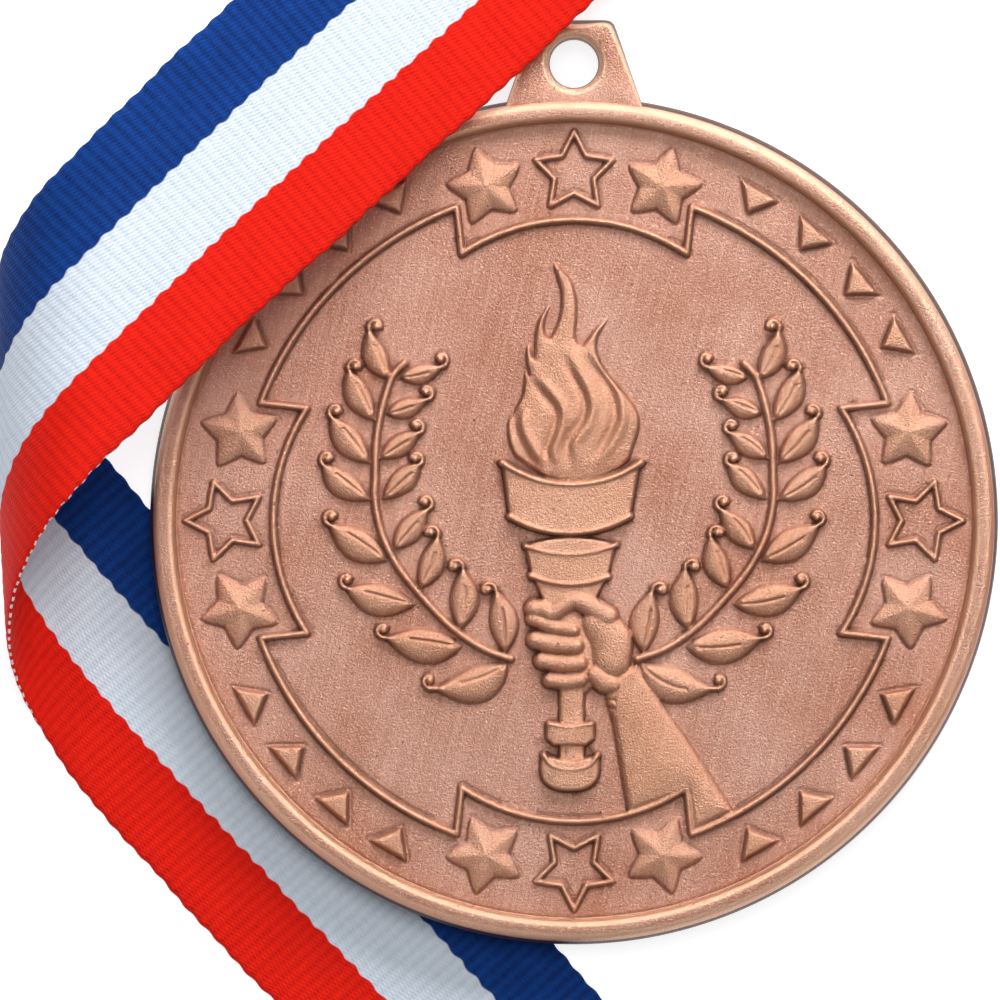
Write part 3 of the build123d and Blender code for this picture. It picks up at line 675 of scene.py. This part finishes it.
def smooth_bump(u):
    """1 at 0, falling smoothly to 0 at -1 and 1."""
    u = np.clip(1 - np.abs(u), 0, 1)
    return u * u * (3 - 2 * u)


def ribbon_middle(s, t):
    """Middle surface of the whole ribbon."""
    points = np.zeros(s.shape + (3,))
    for start, heading, ruling, profile, first in ROUTE:
        here = s >= first
        piece = strip_points(start, heading, ruling, profile, s - first, t)
        points = np.where(here[..., None], piece, points)
    slant = math.radians(OVER_HEADING - ROUTE[0][2] + 90)
    past = s * math.cos(slant) - t * math.sin(slant) - length_of(ROUTE[0][3][:-1])
    lean = smooth_bump(past / 14.0)
    points[..., 0] += LEAN * lean * np.clip((t + 10) / 20, 0, 1) ** 1.5
    points[..., 1] += SAG * smooth_bump((past + 20) / 30)
    points[..., 0] -= 0.35 * smooth_bump(past / 20)
    points[..., :2] -= (0.55 * smooth_bump((past - 17) / 26))[..., None]
    return points


def ribbon_mesh():
    """Ribbed strip with scalloped edges, closed all round."""
    rows = int(RIBBON_LEN / RIB * 3)
    s_row = np.linspace(0, RIBBON_LEN, rows + 1)
    t_half = np.array([1.6, 3.1, 3.5, 5.0, 6.7, 8.4, 9.5, 9.86])
    t_col = np.concatenate([-t_half[::-1], [0.0], t_half])
    loop_t = np.concatenate([t_col, [10.0], t_col[::-1], [-10.0]])
    loop_side = np.concatenate([np.ones(len(t_col)), [0], -np.ones(len(t_col)), [0]])
    s, t = np.meshgrid(s_row, loop_t, indexing="ij")
    scallop = 0.5 - 0.5 * np.cos(math.pi * s / RIB)
    drift = 0.05 * np.sin(s * 0.31) + 0.04 * np.sin(s * 0.83 + 1.0)
    edge = np.clip((np.abs(t) - 8.0) / 2.0, 0, 1)
    t_real = t * (1 + (drift - SCALLOP * scallop) / 10 * edge)
    bent = np.clip((s - BENT_RUN[0]) / 4, 0, 1) * np.clip((BENT_RUN[1] - s) / 4, 0, 1)
    middle = ribbon_middle(s, t_real)
    eps = 0.02
    ds = ribbon_middle(s + eps, t_real) - ribbon_middle(s - eps, t_real)
    dt = ribbon_middle(s, t_real + eps) - ribbon_middle(s, t_real - eps)
    normal = np.cross(ds, dt)
    normal /= np.linalg.norm(normal, axis=-1, keepdims=True)
    rib = 0.5 + 0.5 * np.cos(2 * math.pi * s / RIB)
    thin = 1 - 0.35 * np.clip((np.abs(t) - 9.4) / 0.5, 0, 1)
    half = (RIBBON_T / 2 - RIB_H + RIB_H * rib) * thin
    points = middle + normal * (loop_side * half)[..., None]
    verts = points.reshape(-1, 3)
    count = len(loop_t)
    faces = grid_faces(rows + 1, count, wrap_cols=True).tolist()
    faces.append(list(range(count)))
    faces.append([rows * count + k for k in range(count)][::-1])
    attributes = {"run": s.ravel(), "width": t.ravel(), "bent": bent.ravel()}
    return new_object("ribbon_weave", verts, faces, attributes)


def stitch_mesh():
    """The thread of the sewn joint: short twisted stitches round a box and along its diagonals."""
    top = UNDER_Z + 2 * LAYER + RIBBON_T / 2
    centre = np.array([LANE_X, BAR_Y - 23.0 + BOX / 2, top])
    spots = []
    for side in range(4):
        for k in range(STITCHES):
            spots.append((BOX / 2, (k - 2) * BOX / STITCHES, 90 * side, 90))
    for slope in (-45, 45):
        for k in range(STITCHES):
            spots.append(((k - 2) * BOX / 4, 0.0, slope, 0))
    rings, around = 9, 8
    verts, faces = [], []
    for a, b, turn, lie in spots:
        c, d = math.cos(math.radians(turn)), math.sin(math.radians(turn))
        where = centre + [a * c - b * d, a * d + b * c, 0]
        way = math.radians(turn + lie)
        forward = np.array([math.cos(way), math.sin(way), 0])
        across = np.array([-math.sin(way), math.cos(way), 0])
        base = len(verts)
        for i in range(rings):
            u = i / (rings - 1) * 2 - 1
            radius = 0.19 * (1 - 0.35 * u ** 6)
            lift = 0.10 - 0.30 * u ** 4
            for j in range(around):
                phase = 2 * math.pi * j / around + 2.2 * u
                bulge = radius * (1 + 0.16 * math.cos(3 * (phase - 4 * u)))
                verts.append(where + forward * (1.15 * u) + across * bulge * math.cos(phase)
                             + [0, 0, lift + bulge * math.sin(phase)])
        faces += (grid_faces(rings, around, wrap_cols=True) + base).tolist()
        faces.append([base + j for j in range(around)][::-1])
        faces.append([base + (rings - 1) * around + j for j in range(around)])
    return new_object("sewing_thread", verts, faces)


# ------------------------------------------------------------------ materials
class Nodes:
    """Small helper that adds nodes to a new material and links them."""

    def __init__(self, name):
        self.material = bpy.data.materials.new(name)
        self.material.use_nodes = True
        self.tree = self.material.node_tree
        self.shader = self.tree.nodes["Principled BSDF"]

    def put(self, kind, inputs=None, **settings):
        node = self.tree.nodes.new(kind)
        for key, value in settings.items():
            setattr(node, key, value)
        for key, value in (inputs or {}).items():
            self.feed(node.inputs[key], value)
        return node

    def feed(self, socket, value):
        if isinstance(value, bpy.types.NodeSocket):
            self.tree.links.new(value, socket)
        else:
            socket.default_value = value

    def math(self, operation, a, b=0.0, c=0.0):
        node = self.put("ShaderNodeMath", operation=operation)
        for socket, value in zip(node.inputs, (a, b, c)):
            self.feed(socket, value)
        return node.outputs[0]

    def mix(self, factor, a, b):
        node = self.put("ShaderNodeMix", data_type="RGBA")
        self.feed(node.inputs[0], factor)
        self.feed(node.inputs[6], a)
        self.feed(node.inputs[7], b)
        return node.outputs[2]

    def value(self, name):
        return self.put("ShaderNodeAttribute", attribute_name=name).outputs["Fac"]

    def place(self, scale, rotation=0.0):
        """Object coordinates in millimetres, turned about Z and stretched."""
        coords = self.put("ShaderNodeTexCoord").outputs["Object"]
        turn = self.put("ShaderNodeMapping", {"Vector": coords, "Rotation": (0, 0, math.radians(rotation))})
        stretch = tuple(1000 * v for v in scale)
        return self.put("ShaderNodeMapping", {"Vector": turn.outputs[0], "Scale": stretch}).outputs[0]

    def noise(self, vector, scale, detail=3.0, roughness=0.5):
        node = self.put("ShaderNodeTexNoise", {"Vector": vector, "Scale": scale, "Detail": detail,
                                               "Roughness": roughness})
        return node.outputs["Fac"]

    def ramp(self, value, low, high, a=0.0, b=1.0):
        """Map a range of values to another, clamped."""
        node = self.put("ShaderNodeMapRange", {"Value": value, "From Min": low, "From Max": high,
                                               "To Min": a, "To Max": b})
        return node.outputs[0]

    def bump(self, height, strength, distance, normal=None):
        node = self.put("ShaderNodeBump", {"Height": height, "Strength": strength, "Distance": distance})
        if normal is not None:
            self.feed(node.inputs["Normal"], normal)
        return node.outputs[0]

    def finish(self, **sockets):
        for key, value in sockets.items():
            self.feed(self.shader.inputs[key.replace("_", " ")], value)
        return self.material


def rgb(r, g, b):
    """Linear colour from 0-255 screen values."""
    linear = (((v / 255 + 0.055) / 1.055) ** 2.4 if v > 10 else v / 255 / 12.92 for v in (r, g, b))
    return tuple(linear) + (1.0,)


DULL, PLAIN, SCRATCH = (174, 120, 98), (196, 150, 132), (234, 194, 172)
PATINA_AND_SHADE, DEEP_BROWN_AND_SHADE = (130, 80, 62), (66, 34, 24)
RUBBED, POLISH_AND_HIGHLIGHT = (222, 166, 130), (246, 198, 166)


def bronze(name, struck):
    """Antiqued copper bronze: dark patina in the recesses, rubbed bright on top and along the edges, brushed
    and pitted. The edge brightening is partly a painted highlight; steep walls carry painted shade; on the
    plain rim and tab, bevels carry a painted highlight and the side, back and hole wall a painted shade that
    is nearly black.
    """
    n = Nodes(name)
    flat = n.place((1, 1, 1))
    strokes = n.noise(n.place((3.4, 0.14, 1), 14), 1.0, 4.0, 0.7)
    fine = n.noise(n.place((11.0, 0.5, 1), 14), 1.0, 2.0, 0.6)
    grain = n.noise(flat, 5.6, 3.0, 0.75)
    speck = n.noise(flat, 5.2, 1.0, 0.5)
    cloud = n.noise(flat, 0.09, 4.0, 0.6)
    pits = n.ramp(n.noise(flat, 2.6, 1.0), 0.255, 0.235)
    body = n.mix(n.ramp(cloud, 0.35, 0.68), rgb(*DULL), rgb(*PLAIN))
    body = n.mix(n.math("MULTIPLY", n.ramp(strokes, 0.45, 0.75), 0.30), body, rgb(*SCRATCH))
    body = n.mix(n.math("MULTIPLY", n.ramp(grain, 0.5, 0.72), 0.35), body, rgb(*PATINA_AND_SHADE))
    body = n.mix(n.math("MULTIPLY", n.ramp(speck, 0.60, 0.72), 0.55), body, rgb(*SCRATCH))
    normal = n.put("ShaderNodeNewGeometry").outputs["Normal"]
    up = n.put("ShaderNodeSeparateXYZ", {"Vector": normal}).outputs["Z"]
    if struck:
        cavity, relief = n.value("cavity"), n.value("relief")
        body = n.mix(n.math("MULTIPLY", n.ramp(relief, 0.12, 0.45), 0.42), body, rgb(*RUBBED))
        # the relief's ridges and edges rubbed bright: wear, and also a painted highlight along them
        body = n.mix(n.math("MULTIPLY", n.ramp(cavity, 0.06, 0.22), 0.55), body, rgb(*POLISH_AND_HIGHLIGHT))
        # painted shade: steep walls of the relief darkened towards the patina colour
        body = n.mix(n.math("MULTIPLY", n.ramp(up, 0.75, 0.4), 0.20), body, rgb(*PATINA_AND_SHADE))
        dark = n.ramp(n.math("ADD", cavity, n.math("MULTIPLY", grain, 0.03)), -0.02, -0.15)
        body = n.mix(n.math("MULTIPLY", dark, 0.70), body, rgb(*DEEP_BROWN_AND_SHADE))
    else:
        height = n.put("ShaderNodeSeparateXYZ", {"Vector": flat}).outputs["Z"]
        # painted highlight: wherever the rim and tab tilt a little from flat, on the bead's shoulders and the
        # bevels, the colour is pushed towards the brightest polished tone
        bevel_highlight = n.math("ADD", n.math("MULTIPLY", n.ramp(up, 0.995, 0.93), 0.75), 0.05)
        body = n.mix(bevel_highlight, body, rgb(*POLISH_AND_HIGHLIGHT))
        # painted shade: steep faces of the rim and tab darkened towards the patina colour
        body = n.mix(n.math("MULTIPLY", n.ramp(up, 0.6, 0.2), 0.22), body, rgb(*PATINA_AND_SHADE))
        # painted shade: the outer side, the back and the hole's wall, below the rim's crown, turned nearly
        # black
        side = n.math("MULTIPLY", n.ramp(height, 0.95, 0.65), n.ramp(up, 0.9, 0.6))
        body = n.mix(n.math("MULTIPLY", side, 0.92), body, rgb(*DEEP_BROWN_AND_SHADE))
    body = n.mix(n.math("MULTIPLY", pits, 0.6), body, rgb(*DEEP_BROWN_AND_SHADE))
    mixed = n.math("ADD", n.math("MULTIPLY", strokes, 0.4), n.math("MULTIPLY", grain, 0.6))
    normal = n.bump(strokes, 0.22, 0.00010)
    normal = n.bump(fine, 0.20, 0.00005, normal)
    normal = n.bump(grain, 0.75, 0.00017, normal)
    rough = n.ramp(mixed, 0.3, 0.7, 0.26, 0.42)
    return n.finish(Base_Color=body, Roughness=rough, Metallic=0.86, Normal=normal)


def ribbon_cloth():
    """Three woven stripes with lightly stepped borders, ribbed across, with threads showing, and with painted
    shade between the ribs and threads.
    """
    n = Nodes("ribbon_cloth")
    run, width, bent = n.value("run"), n.value("width"), n.value("bent")
    rib = n.math("COSINE", n.math("MULTIPLY", run, 2 * math.pi / RIB))
    pair = n.math("COSINE", n.math("MULTIPLY", run, math.pi / RIB))
    place = n.put("ShaderNodeCombineXYZ", {"X": run, "Y": width}).outputs[0]
    wander = n.math("SUBTRACT", n.noise(place, 0.8, 2.0), 0.5)
    shift = n.math("ADD", n.math("MULTIPLY", pair, 0.09), n.math("MULTIPLY", wander, 0.22))
    across = n.math("ADD", width, shift)
    crossed = n.math("ADD", width, n.math("MULTIPLY", wander, 0.3))
    threads = n.math("SINE", n.math("MULTIPLY", crossed, 2 * math.pi / WARP))
    weave = n.math("MULTIPLY", threads, rib)
    long_way, cross_way = n.math("MULTIPLY", run, 1.1), n.math("MULTIPLY", width, 5.0)
    stretched = n.put("ShaderNodeCombineXYZ", {"X": long_way, "Y": cross_way}).outputs[0]
    fuzz = n.noise(stretched, 1.0, 4.0, 0.75)
    blotch = n.noise(place, 0.35, 3.0, 0.6)
    # painted shade between the ribs and along the crossing threads, mixed with random tone from fuzz and
    # blotch; each stripe runs from its shaded colour to its lit colour
    rib_shade_and_tone = n.math("ADD", n.math("MULTIPLY", rib, 0.24), n.math("MULTIPLY", weave, 0.14))
    rib_shade_and_tone = n.math("ADD", rib_shade_and_tone, n.math("MULTIPLY", n.math("SUBTRACT", fuzz, 0.5), 1.7))
    rib_shade_and_tone = n.math("ADD", rib_shade_and_tone, n.math("MULTIPLY", n.math("SUBTRACT", blotch, 0.5), 0.9))
    level = n.ramp(rib_shade_and_tone, -0.9, 0.9)
    blue = n.mix(level, rgb(1, 18, 70), rgb(8, 68, 150))
    white = n.mix(level, rgb(184, 195, 210), rgb(222, 231, 241))
    red = n.mix(level, rgb(184, 6, 1), rgb(238, 32, 8))
    colour = n.mix(n.ramp(across, -3.40, -3.26), blue, white)
    colour = n.mix(n.ramp(across, 3.26, 3.40), colour, red)
    dots = n.ramp(n.math("COSINE", n.math("MULTIPLY", run, 2 * math.pi / 0.87)), -0.1, 0.2)
    edge = n.math("MULTIPLY", n.ramp(width, 9.88, 9.93), bent)
    colour = n.mix(n.math("MULTIPLY", n.math("MULTIPLY", edge, dots), 0.9), colour, rgb(240, 236, 240))
    normal = n.bump(weave, 0.4, 0.00005)
    normal = n.bump(fuzz, 0.6, 0.00010, normal)
    return n.finish(Base_Color=colour, Roughness=0.8, Normal=normal, Sheen_Weight=0.05, Sheen_Roughness=0.4,
                    Specular_IOR_Level=0.15)


def nickel(name, tone, rough_low, rough_high):
    """Plated metal, tarnished in streaks and darker in its concave corners, with fine scuffs."""
    n = Nodes(name)
    flat = n.place((1, 1, 1))
    scuff = n.noise(n.place((0.6, 5.0, 5.0), 10), 1.0, 4.0, 0.7)
    haze = n.noise(flat, 0.7, 3.0, 0.6)
    fine = n.noise(flat, 9.0, 2.0, 0.6)
    corner = n.put("ShaderNodeNewGeometry").outputs["Pointiness"]
    hazed, scuffed, darker_in_corners = (rgb(*(int(v * share) for v in tone)) for share in (0.74, 0.6, 0.4))
    colour = n.mix(n.ramp(haze, 0.35, 0.7), rgb(*tone), hazed)
    colour = n.mix(n.math("MULTIPLY", n.ramp(scuff, 0.55, 0.75), 0.4), colour, scuffed)
    # darker in concave corners, by pointiness
    colour = n.mix(n.math("MULTIPLY", n.ramp(corner, 0.49, 0.42), 0.6), colour, darker_in_corners)
    normal = n.bump(scuff, 0.15, 0.00006)
    normal = n.bump(fine, 0.20, 0.00003, normal)
    return n.finish(Base_Color=colour, Metallic=1.0, Roughness=n.ramp(scuff, 0.3, 0.8, rough_low, rough_high),
                    Normal=normal)


def thread():
    """White sewing thread, unevenly twisted."""
    n = Nodes("thread")
    twist = n.noise(n.place((6.0, 6.0, 6.0)), 1.0, 3.0, 0.7)
    colour = n.mix(twist, rgb(196, 204, 222), rgb(246, 248, 255))
    return n.finish(Base_Color=colour, Roughness=0.7, Normal=n.bump(twist, 0.4, 0.00005), Sheen_Weight=0.3)


def floor_paint():
    """Nearly white matt floor that glows a little, so that it stays pale round the shadows."""
    n = Nodes("floor_paint")
    haze = n.noise(n.place((1, 1, 1)), 0.01, 3.0)
    glow = n.mix(haze, rgb(246, 246, 247), rgb(252, 252, 252))
    white = n.mix(haze, rgb(176, 176, 178), rgb(184, 184, 184))
    return n.finish(Base_Color=white, Roughness=0.9, Emission_Color=glow, Emission_Strength=0.82)


def dress(obj, material):
    obj.data.materials.clear()
    obj.data.materials.append(material)


# ------------------------------------------------------------------ build the pieces
struck_bronze, plain_bronze = bronze("bronze_struck", True), bronze("bronze_plain", False)
face = medal_face()
rim = medal_rim()
tab = medal_tab()
dress(face, struck_bronze)
for piece in (rim, tab):
    dress(piece, plain_bronze)
for piece in (face, rim, tab):
    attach(piece, "medal")
    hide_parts("medal")

ribbon = ribbon_mesh()
dress(ribbon, ribbon_cloth())
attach(ribbon, "ribbon")
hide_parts("ribbon")

stitches = stitch_mesh()
dress(stitches, thread())
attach(stitches, "ribbon")
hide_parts("ribbon_stitching")

plated = nickel("plated_nickel", (172, 170, 166), 0.20, 0.42)
plain_steel = nickel("plain_steel", (140, 141, 144), 0.32, 0.55)
for node in ("ribbon_ring", "swivel_eye", "clasp_body", "clasp_lever"):
    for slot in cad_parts[node].material_slots:
        slot.material = plated
for node in ("lever_pin", "lever_spring"):
    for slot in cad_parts[node].material_slots:
        slot.material = plain_steel


# ------------------------------------------------------------------ floor, light and camera
def make_floor():
    half = 3000
    corners = [[x * half, y * half, TABLE_Z] for x, y in ((-1, -1), (1, -1), (1, 1), (-1, 1))]
    floor = new_object("floor", corners, [[0, 1, 2, 3]], smooth=False)
    dress(floor, floor_paint())


def area_light(name, place, target, size, power):
    """A rectangular lamp aimed at a point; metres and watts."""
    light = bpy.data.lights.new(name, "AREA")
    light.shape, light.size, light.size_y, light.energy = "RECTANGLE", size[0], size[1], power
    obj = bpy.data.objects.new(name, light)
    bpy.context.scene.collection.objects.link(obj)
    obj.location = place
    aim = Vector(target) - Vector(place)
    obj.rotation_euler = aim.to_track_quat("-Z", "Y").to_euler()
    return obj


def make_lights():
    disc = (0, -HOLE_UP * MM, 0)
    area_light("key", (0.09, 0.30, 0.20), disc, (0.30, 0.16), 2.1)
    area_light("fill", (0.60, 0.00, 0.50), disc, (0.5, 0.5), 0.3)
    area_light("top", (0.00, 0.16, 0.62), disc, (0.30, 0.26), 1.5)
    world = bpy.data.worlds.new("world")
    bpy.context.scene.world = world
    world.use_nodes = True
    world.node_tree.nodes["Background"].inputs["Color"].default_value = (1.0, 1.0, 1.0, 1.0)
    world.node_tree.nodes["Background"].inputs["Strength"].default_value = 0.36


def make_camera():
    """Straight above the face, framing 82.6 mm of the medal and its ribbon."""
    camera = bpy.data.cameras.new("camera")
    obj = bpy.data.objects.new("camera", camera)
    bpy.context.scene.collection.objects.link(obj)
    height, view = 700.0, 82.55
    camera.sensor_width = 36.0
    camera.lens = 36.0 * height / view
    camera.clip_start, camera.clip_end = 0.01, 10.0
    obj.location = (-6.11 * MM, (1.69 - HOLE_UP) * MM, height * MM)
    bpy.context.scene.camera = obj
    bpy.context.scene.view_settings.view_transform = "Standard"


make_floor()
make_lights()
make_camera()
